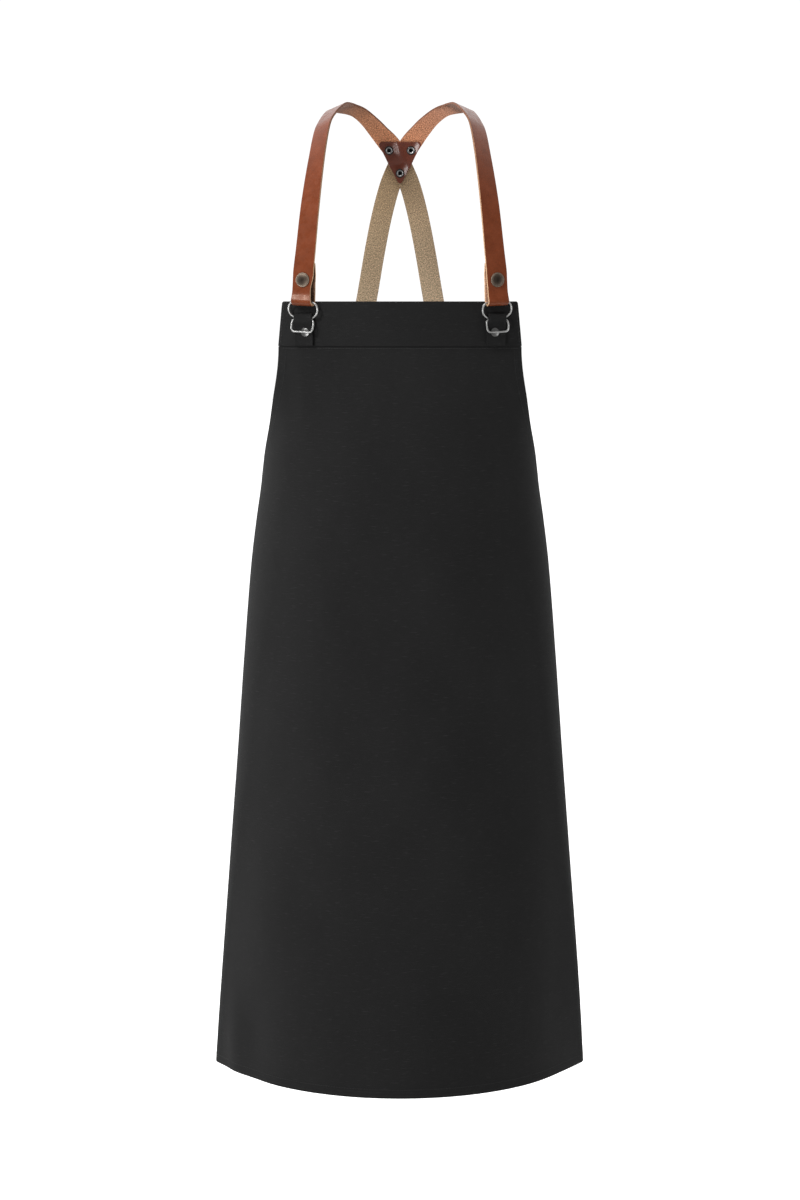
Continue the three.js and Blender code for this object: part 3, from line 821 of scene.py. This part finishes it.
def turned(profile, point, axis, steps=40):
    """A turned piece: a profile of radius and height pairs spun about the axis at a point."""
    bm = new_bmesh()
    chain = [bm.verts.new((radius * MM, 0, height * MM)) for radius, height in profile]
    edges = [bm.edges.new(pair) for pair in zip(chain, chain[1:])]
    bmesh.ops.spin(
        bm, geom=chain + edges, cent=(0, 0, 0), axis=(0, 0, 1), angle=math.tau, steps=steps, use_merge=True
    )
    bmesh.ops.remove_doubles(bm, verts=bm.verts, dist=1e-7)
    bmesh.ops.recalc_face_normals(bm, faces=bm.faces)
    rim = bm.verts.layers.float.new("rim")
    widest = max(radius for radius, height in profile) * MM
    for vert in bm.verts:
        vert[rim] = math.hypot(vert.co.x, vert.co.y) / widest
    turn = Vector(axis).to_track_quat("Z", "Y").to_matrix().to_4x4()
    bmesh.ops.transform(bm, matrix=Matrix.Translation(point * MM) @ turn, verts=bm.verts)
    return bm


def open_hole(bm, centre, axis, radius, depth=8):
    """Cuts a round hole in a fine sheet: drops the corners inside it and rounds its border."""
    def reach(vert):
        away = vert.co / MM - centre
        level = away.dot(axis)
        return (away - axis * level).length, level

    inside = [v for v in bm.verts if reach(v)[0] < radius and abs(reach(v)[1]) < depth]
    ring = {corner for v in inside for face in v.link_faces for corner in face.verts} - set(inside)
    bmesh.ops.delete(bm, geom=inside, context="VERTS")
    for vert in ring:
        away = vert.co / MM - centre
        level = axis * away.dot(axis)
        vert.co = (centre + level + (away - level).normalized() * radius) * MM


# Panel, hems and band.

def make_panel(cloth, thread):
    bm = new_bmesh()

    def spot(u, v):
        drop = PANEL_TOP + (APRON_LENGTH - PANEL_TOP) * (1 - v)
        along = (2 * u - 1) * half_girth(drop)
        return draped(drop, along)[0], (along, -drop)

    add_grid(bm, 170, 190, spot)
    panel = new_piece("panel_cloth", bm, [cloth])
    thicken(panel, CLOTH, 0.3)
    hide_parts("apron_panel")

    hems = new_bmesh()
    stitches = new_bmesh()
    for border, ply in hem_borders():
        add_hem(hems, border, ply)
        for off in (CLOTH / 2 + 0.05, -CLOTH / 2 - GAP - HEM_PLY - 0.05):
            add_stitches(stitches, hem_line(border, HEM_WIDTH - 2.5, off))
    hems = new_piece("panel_hems", hems, [cloth])
    thicken(hems, HEM_PLY, 0.2)
    stitches = new_piece("hem_stitches", stitches, [thread])


def hem_borders():
    """Borders of the panel in flat places, each with its inward direction, and its ply's order."""
    steps = 60
    for side, _ in SIDES:
        armhole = []
        for k in range(steps + 1):
            drop = BAND_DEPTH + 1 + (WAIST_DROP - BAND_DEPTH - 1) * k / steps
            slope = 2 * (WAIST_HALF - BIB_SEAM_HALF) * (drop - BAND_DEPTH) / (WAIST_DROP - BAND_DEPTH) ** 2
            inward = Vector((-side, slope)).normalized()
            armhole.append((Vector((side * half_girth(drop), drop)), inward))
        yield armhole, 0
        drops = [WAIST_DROP + (APRON_LENGTH - WAIST_DROP) * k / 120 for k in range(121)]
        yield [(Vector((side * WAIST_HALF, drop)), Vector((-side, 0))) for drop in drops], 1
    alongs = [WAIST_HALF * k / 90 for k in range(-90, 91)]
    yield [(Vector((along, APRON_LENGTH)), Vector((0, -1))) for along in alongs], 0


def add_hem(bm, border, ply):
    """A strip turned in at the border and laid on the inner face."""
    lie = -(CLOTH / 2 + GAP / 2 + HEM_PLY / 2) - ply * 0.5
    profile = [(0.4, -0.1), (-0.25, -0.25), (-0.5, lie / 2), (-0.25, lie + 0.15), (0.4, lie)]
    profile += [(HEM_WIDTH * k / 6, lie) for k in range(1, 6)]
    profile += [(HEM_WIDTH - 0.6, lie), (HEM_WIDTH, lie + 0.25)]
    count = len(border) - 1

    def spot(u, v):
        place, inward = border[round(v * count)]
        depth, off = profile[round(u * (len(profile) - 1))]
        flat = place + inward * depth
        return draped(flat.y, flat.x, off)[0], flat

    add_grid(bm, len(profile) - 1, count, spot)


def hem_line(border, depth, off):
    line = []
    for place, inward in border:
        flat = place + inward * depth
        point, out = draped(flat.y, flat.x, off)
        line.append((point, out if off > 0 else -out))
    return line


def band_profile():
    """Section of the folded band from its front edge over the top to its back edge: drop, out."""
    top = BAND_PLY / 2 + BAND_OUT
    straight = [BAND_DEPTH, BAND_DEPTH - 0.7, BAND_DEPTH - 2, BAND_DEPTH - 5]
    straight += [BAND_DEPTH - 5 - (BAND_DEPTH - 5 - top) * k / 9 for k in range(1, 10)]
    front = [(drop, BAND_OUT) for drop in straight]
    front[0] = (BAND_DEPTH, BAND_OUT + 0.16)
    front[1] = (BAND_DEPTH - 0.7, BAND_OUT + 0.13)
    fold = [(top - h, d) for d, h in arc((0, 0), BAND_OUT, 0, 180, 10)][1:-1]
    back = [(drop, -out) for drop, out in reversed(front)]
    return front + fold + back


def make_band(cloth, thread):
    profile = band_profile()
    lengths = [0]
    for (d0, o0), (d1, o1) in zip(profile, profile[1:]):
        lengths.append(lengths[-1] + math.hypot(d1 - d0, o1 - o0))

    def spot(u, v):
        i = round(v * (len(profile) - 1))
        drop, off = profile[i]
        half = half_girth(drop)
        if drop < BAND_CORNER:
            half -= BAND_CORNER - math.sqrt(BAND_CORNER ** 2 - (BAND_CORNER - drop) ** 2)
        along = (2 * u - 1) * half
        near_end = min(1, max(0, 1 - (half - abs(along)) / BAND_PINCH_REACH))
        pinch = 1 - BAND_PINCH * near_end
        return draped(drop, along, off * pinch)[0], (along, lengths[i])

    bm = new_bmesh()
    add_grid(bm, 130, len(profile) - 1, spot)
    band = new_piece("band_cloth", bm, [cloth])
    thicken(band, BAND_PLY, 0.25)
    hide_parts("top_band")

    stitches = new_bmesh()
    seam = [draped(BAND_DEPTH + 2.6, k, CLOTH / 2 + 0.1) for k in range(-138, 139, 2)]
    add_stitches(stitches, seam)
    for side, _ in SIDES:
        edge = [
            draped(drop, side * (half_girth(drop) - 3), BAND_OUT + BAND_PLY / 2 + 0.05)
            for drop in range(4, BAND_DEPTH, 2)
        ]
        add_stitches(stitches, edge)
    stitches = new_piece("band_stitches", stitches, [thread])


# Hardware of each side.

class HardwareFrame:
    """Where the tab, buckle and strap loop of one side sit on the band."""

    def __init__(self, side):
        point, self.out, self.across = cloth_at(BAND_DEPTH / 2, side * TAB_ALONG)
        self.face = point + self.out * (BAND_OUT + BAND_PLY / 2)

    def place(self, across, out, z):
        return Vector((self.face.x, self.face.y, z)) + self.across * across + self.out * out

    def hang(self, across, out, z):
        """As place, with the roll that the buckle and the strap's loop share."""
        up = z - NECK_Z
        level = across * math.cos(HANG_ROLL) - up * math.sin(HANG_ROLL)
        return self.place(level, out, NECK_Z + up * math.cos(HANG_ROLL) + across * math.sin(HANG_ROLL))

    def stations(self, points, to_world, facing):
        """Stations of a strip from distances and heights, facing to the given side of the run."""
        made = []
        level = to_world(1, 0, 0) - to_world(0, 0, 0)
        for i, (out, z) in enumerate(points):
            before = points[max(0, i - 1)]
            after = points[min(len(points) - 1, i + 1)]
            run = (to_world(0, *after) - to_world(0, *before)).normalized()
            made.append((to_world(0, out, z), run.cross(level).normalized() * facing))
        return made


def make_tab(side, label, cloth, thread):
    frame_here = HardwareFrame(side)
    rows = strip_rows(frame_here.stations(TAB_STRIP, frame_here.place, side), 1.2)
    front = rows[-1][3] - TAB_FACE

    def stand_off(across, length):
        edge = abs(across / (TAB_WIDTH / 2)) ** 4
        return 0, (TAB_STAND_OFF * edge if length > front else 0)

    bm = new_bmesh()
    add_strip(bm, rows, TAB_WIDTH, 14, stand_off)
    tab = new_piece("tab_cloth_" + label, bm, [cloth])
    thicken(tab, TAB_PLY, 0.25)
    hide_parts("tab_" + label)
    stitches = new_bmesh()
    for edge in (-1, 1):
        line = [
            (point + across * edge * (TAB_WIDTH / 2 - 2) + out * (TAB_PLY / 2 + 0.02), out)
            for point, across, out, length in rows
        ]
        add_stitches(stitches, line, TAB_STITCH)
    stitches = new_piece("tab_stitches_" + label, stitches, [thread])


def make_stud(side, label, steel):
    frame_here = HardwareFrame(side)
    face = TAB_FRONT + TAB_PLY / 2 + GAP
    profile = [(0, 0.35), (3, 0.35), (3, 0.9), (1.5, 0.9), (1.5, face), (STUD_RADIUS - 0.25, face)]
    profile += arc((STUD_RADIUS - 0.25, face + 0.25), 0.25, -90, 40, 4)
    profile += dome(STUD_RADIUS - 0.35, face + 0.45, 0.65, 9)
    bm = turned(profile, frame_here.place(STUD_ACROSS, 0, STUD_Z), frame_here.out)
    stud = new_piece("stud_" + label, bm, [steel], sharp=45)
    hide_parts("tab_stud_" + label)


def make_buckle(side, label, steel):
    frame_here = HardwareFrame(side)
    half = [frame_here.hang(*p) for p in BUCKLE_HALF]
    other = [frame_here.hang(-across, out, z) for across, out, z in reversed(BUCKLE_HALF[:-1])]
    points = [point for point, *_ in curve_points(half + other, 0.9)]
    curve = bpy.data.curves.new("wire", "CURVE")
    curve.dimensions = "3D"
    curve.bevel_depth = WIRE_RADIUS * MM
    curve.bevel_resolution = 5
    curve.use_fill_caps = True
    wire = curve.splines.new("POLY")
    wire.points.add(len(points) - 1)
    for knot, point in zip(wire.points, points):
        knot.co = (*(point * MM), 1)
    shape = bpy.data.objects.new("wire", curve)
    bm = new_bmesh()
    mesh = bpy.data.meshes.new_from_object(shape)
    bm.from_mesh(mesh)
    bpy.data.meshes.remove(mesh)
    bpy.data.curves.remove(curve)
    bmesh.ops.remove_doubles(bm, verts=bm.verts, dist=1e-7)
    bmesh.ops.recalc_face_normals(bm, faces=bm.faces)
    buckle = new_piece("buckle_wire_" + label, bm, [steel], sharp=50)
    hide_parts("buckle_" + label)


def make_snap(side, label, bronze):
    frame_here = HardwareFrame(side)
    back = PLY_BACK - LEATHER / 2 - GAP
    inner = PLY_BACK + LEATHER / 2 + GAP
    outer = PLY_FRONT - LEATHER / 2 - GAP
    face = PLY_FRONT + LEATHER / 2 + 0.1
    profile = [(0, back - 1.2), (4.2, back - 1.0), (4.5, back - 0.7), (4.5, back), (SNAP_POST, back)]
    profile += [(SNAP_POST, inner), (3.6, inner), (3.6, outer), (SNAP_POST, outer), (SNAP_POST, face)]
    profile += [(SNAP_RADIUS - 0.5, face)]
    profile += arc((SNAP_RADIUS - 0.7, face + 0.7), 0.7, -60, 110, 7)
    profile += [(SNAP_RADIUS - 1.35, face + 1.12), (SNAP_RADIUS - 1.6, face + 1.16)]
    profile += dome(SNAP_RADIUS - 1.9, face + 1.3, 0.9, 8)
    bm = turned(profile, frame_here.hang(0, 0, SNAP_Z), frame_here.out, 56)
    snap = new_piece("snap_cap_" + label, bm, [bronze], sharp=50)
    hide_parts("snap_" + label)


# Straps, crossing and waist corners.

def loop_points():
    """Front loop of a strap from the free end of the back ply round to the face ply."""
    under = arc((LOOP_OUT, LOOP_Z), LOOP_RADIUS, 180, 270, 3)
    belly = [
        (LOOP_OUT + LOOP_BELLY * math.sin(turn), LOOP_Z - LOOP_RADIUS * math.cos(turn))
        for turn in (math.pi / 6, math.pi / 3)
    ]
    return list(LOOP_BACK) + under + belly + list(LOOP_FRONT)


def aim(turn, lift):
    turn, lift = math.radians(turn), math.radians(lift)
    return Vector((math.sin(turn) * math.cos(lift), -math.cos(turn) * math.cos(lift), math.sin(lift)))


def waist_corner(side):
    """Where a strap's lower end is riveted on: point, outward direction and the strap's run."""
    point, out, across = cloth_at(WAIST_RIVET_DROP, side * WAIST_RIVET_ALONG)
    below = cloth_at(WAIST_RIVET_DROP + 10, side * WAIST_RIVET_ALONG)[0]
    down = (below - point).normalized()
    face = down.cross(across).normalized()
    if face.dot(out) < 0:
        face.negate()
    run = (down - across * STRAP_SLANT).normalized()
    return point, face, run


def strap_stations(side):
    hardware = HardwareFrame(side)
    stations = hardware.stations(loop_points(), hardware.hang, -side)
    for x, y, z, turn, lift, lap in STRAP_RUN:
        out = aim(turn, lift)
        point = Vector((x, y, z)) + out * (side * lap * LAP_OFFSET)
        stations.append((Vector((side * point.x, point.y, point.z)), Vector((side * out.x, out.y, out.z))))
    corner, out, run = waist_corner(-side)
    lift = CLOTH / 2 + GAP + LEATHER / 2
    for reach, ease in TAIL_REACHES:
        stations.append((corner + out * (lift + ease) + run * reach, out))
    return stations


def cross_point(across, up, out):
    """Point in the sloped plane of the crossing; out is to the rear."""
    return Vector((across, CROSS_Y, CROSS_Z)) + CROSS_UP * up + CROSS_REAR * out


def make_strap(side, label, finishes):
    rows = strip_rows(strap_stations(side), 1.3)
    middle, reach, depth = LOOP_WAIST[side]

    def drawn_in(across, length):
        inner = max(0, -side * across / (STRAP_WIDTH / 2))
        near = max(0, 1 - ((length - middle) / reach) ** 2) ** 2
        return side * depth * inner * near, 0

    bm = new_bmesh()
    add_strip(bm, rows, STRAP_WIDTH, 12, drawn_in)
    for name, across, up, through in CROSS_RIVETS:
        if through in (side, 0):
            open_hole(bm, cross_point(across, up, 0), CROSS_REAR, RIVET_BARREL + GAP)
    strap = new_piece("strap_leather_" + label, bm, finishes)
    thicken(strap, LEATHER, 0.45, sides_differ=True)
    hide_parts("strap_" + label)


def make_waist_rivet(side, label, steel):
    point, out, _ = waist_corner(side)
    top = CLOTH / 2 + LEATHER + GAP + 0.1
    low = -CLOTH / 2 - 0.1
    profile = [(0, low - 1.3)] + arc((3.6, low - 0.6), 0.5, -90, 90, 5) + [(1.5, low), (1.5, top)]
    profile += [(4.2, top)] + arc((4.2, top + 0.3), 0.3, -60, 50, 4) + dome(4.2, top + 0.5, 0.95, 8)
    bm = turned(profile, point, out)
    rivet = new_piece("waist_rivet_" + label, bm, [steel], sharp=45)
    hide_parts("side_rivet_" + label)


def smooth_step(low, high, value):
    t = min(1, max(0, (value - low) / (high - low)))
    return t * t * (3 - 2 * t)


def dimple_reach(across, up):
    """Distance from a rivet in a rounded square, turned a little to the left."""
    turned_across = across * math.cos(DIMPLE_TURN) + up * math.sin(DIMPLE_TURN)
    turned_up = up * math.cos(DIMPLE_TURN) - across * math.sin(DIMPLE_TURN)
    return (turned_across ** 4 + turned_up ** 4) ** 0.25


def patch_lift(across, up):
    """How far the patch swells off the straps away from its rivets, less at its pressed sides."""
    nearest = min(dimple_reach(across - a, up - b) for name, a, b, through in CROSS_RIVETS)
    inset = min(border_distance(across, up))
    slope = min(1, max(0, (nearest - RIVET_FLANGE) / DIMPLE))
    return PATCH_LIFT * slope * smooth_step(-3, 1, inset)


def border_lines():
    """Inward normals and offsets of the patch's three sides."""
    for i in range(3):
        start = Vector(PATCH_CORNERS[i])
        end = Vector(PATCH_CORNERS[(i + 1) % 3])
        run = (end - start).normalized()
        inward = Vector((-run.y, run.x))
        yield inward, inward.dot(start)


def border_distance(across, up):
    return [inward.dot(Vector((across, up))) - offset for inward, offset in border_lines()]


def patch_cuts():
    """Cutting lines of the patch, inward and through a point: its sides and chords round its corners."""
    cuts = [(inward, inward * offset) for inward, offset in border_lines()]
    for i in range(3):
        corner = Vector(PATCH_CORNERS[i])
        to_next = (Vector(PATCH_CORNERS[(i + 1) % 3]) - corner).normalized()
        to_last = (Vector(PATCH_CORNERS[(i + 2) % 3]) - corner).normalized()
        middle = (to_next + to_last).normalized()
        half = math.acos(middle.dot(to_next))
        centre = corner + middle * (PATCH_CORNER / math.sin(half))
        spread = math.pi / 2 - half
        for k in range(-3, 4):
            away = Matrix.Rotation(k / 4 * spread, 2) @ -middle
            cuts.append((-away, centre + away * PATCH_CORNER))
    return cuts


def make_patch(leather, edge):
    """A fine grid trimmed to the rounded triangle, swelled, and thickened."""
    bm = new_bmesh()
    bmesh.ops.create_grid(bm, x_segments=68, y_segments=68, size=31)
    for inward, on in patch_cuts():
        bmesh.ops.bisect_plane(
            bm, geom=bm.verts[:] + bm.edges[:] + bm.faces[:], dist=1e-5,
            plane_co=(on.x, on.y, 0), plane_no=(-inward.x, -inward.y, 0), clear_outer=True,
        )
    bmesh.ops.remove_doubles(bm, verts=bm.verts, dist=0.3)
    flat = bm.loops.layers.uv.verify()
    for face in bm.faces:
        for loop in face.loops:
            loop[flat].uv = loop.vert.co.xy * MM
    middle = (PATCH_BACK + PATCH_FRONT) / 2
    for vert in bm.verts:
        across, up = vert.co.x, vert.co.y
        vert.co = cross_point(across, up, middle - patch_lift(across, up)) * MM
    for name, across, up, through in CROSS_RIVETS:
        open_hole(bm, cross_point(across, up, middle), CROSS_REAR, RIVET_BARREL + GAP)
    bm.normal_update()
    if sum((face.normal for face in bm.faces), Vector()).dot(CROSS_REAR) > 0:
        bmesh.ops.reverse_faces(bm, faces=bm.faces)
    patch = new_piece("patch_leather", bm, [leather, edge, edge])
    thicken(patch, PATCH_THICK, 0.45, sides_differ=True)
    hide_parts("cross_patch")


def make_cross_rivets(steel, painted_bore_shade):
    for name, across, up, through in CROSS_RIVETS:
        rear = (-1 if through < 0 else 1) * LAP_OFFSET + LEATHER / 2 + GAP
        front = PATCH_FRONT - 0.05
        lip = (RIVET_FLANGE - RIVET_BORE - 0.3) / 2
        profile = [(0, rear - 1.2), (RIVET_BORE, rear - 1.2), (RIVET_BORE, front - 0.2)]
        for k in range(1, 10):
            turn = math.pi * k / 10
            radius = RIVET_BORE + 0.3 + lip - lip * math.cos(turn)
            profile.append((radius, front - 0.2 - 0.95 * math.sin(turn)))
        profile += [(RIVET_FLANGE, front), (RIVET_BARREL, front), (RIVET_BARREL, rear), (4.2, rear)]
        profile += arc((3.9, rear + 0.35), 0.35, -40, 60, 4) + dome(3.9, rear + 0.55, 0.6, 6)
        bm = turned(profile, cross_point(across, up, 0), CROSS_REAR)
        rim = bm.verts.layers.float["rim"]
        # Faces inside the bore take the painted shade of the hole.
        for face in bm.faces:
            if max(vert[rim] for vert in face.verts) < (RIVET_BORE + 0.1) / RIVET_FLANGE:
                face.material_index = 1
        rivet = new_piece(name, bm, [steel, painted_bore_shade], sharp=45)
        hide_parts("cross_" + name)


def main():
    make_camera()
    make_studio()
    make_floor()
    cloth = twill()
    black_thread = thread_finish("black_thread", 0.010)
    seam_thread = thread_finish("seam_thread", 0.035)
    strap_grain = grain_leather(
        "strap_grain", deep=(0.166, 0.0375, 0.013), body=(0.208, 0.048, 0.017), bright=(0.247, 0.060, 0.023),
        roughness=0.28, shine=0.28, coat=0.0,
    )
    patch_grain = grain_leather(
        "patch_grain", deep=(0.122, 0.025, 0.011), body=(0.162, 0.034, 0.0155), bright=(0.196, 0.044, 0.021),
        roughness=0.34, shine=0.12, coat=1.0,
    )
    # The two sides' flesh differ by painted light and shade: left loop and shoulder darker, right loop pale
    # and right shoulder lighter.
    strap_flesh = {
        -1: flesh_leather(
            "strap_flesh_left", loop=(0.12, 0.06, 0.035), shoulder=(0.32, 0.14, 0.072),
            above=(0.93, 0.405, 0.212), below=(0.40, 0.28, 0.165), back=(0.735, 0.56, 0.376),
        ),
        1: flesh_leather(
            "strap_flesh_right", loop=(0.62, 0.37, 0.24), shoulder=(0.585, 0.273, 0.163),
            above=(0.9, 0.398, 0.212), below=(0.42, 0.29, 0.165), back=(0.66, 0.5, 0.33),
        ),
    }
    strap_cut = cut_leather()
    patch_edge = grain_leather(
        "patch_edge", deep=(0.03, 0.01, 0.007), body=(0.05, 0.018, 0.012), bright=(0.08, 0.03, 0.02),
        roughness=0.5, shine=0.3, coat=0.0,
    )
    steel = plated_metal(
        "nickel_steel", dull=(0.46, 0.46, 0.455), bright=(0.55, 0.55, 0.54), smooth=0.40, rough=0.46
    )
    # The rivets' finish paints shade at their rims.
    rivet_steel = plated_metal(
        "rivet_steel", dull=0.42, bright=0.6, smooth=0.30, rough=0.38, rim_shade_painted=True
    )
    stud_steel = plated_metal(
        "stud_steel", dull=(0.13, 0.13, 0.13), bright=(0.24, 0.24, 0.235), smooth=0.26, rough=0.40
    )
    # Painted shade: near-black metal for the inside of the rivets' bores, standing in for the shade down the
    # hole.
    bore_painted_shade = plated_metal("bore_painted_shade", dull=0.02, bright=0.05, smooth=0.5, rough=0.7)
    bronze = antique_bronze()

    make_panel(cloth, black_thread)
    make_band(cloth, seam_thread)
    for side, label in SIDES:
        make_tab(side, label, cloth, black_thread)
        make_stud(side, label, stud_steel)
        make_buckle(side, label, steel)
        make_snap(side, label, bronze)
        make_strap(side, label, [strap_grain, strap_flesh[side], strap_cut])
        make_waist_rivet(side, label, steel)
    make_patch(patch_grain, patch_edge)
    make_cross_rivets(rivet_steel, bore_painted_shade)


main()
boxes = {"cad": cad_box, "visual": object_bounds()}
{name: [list(corner) for corner in box] for name, box in boxes.items()}
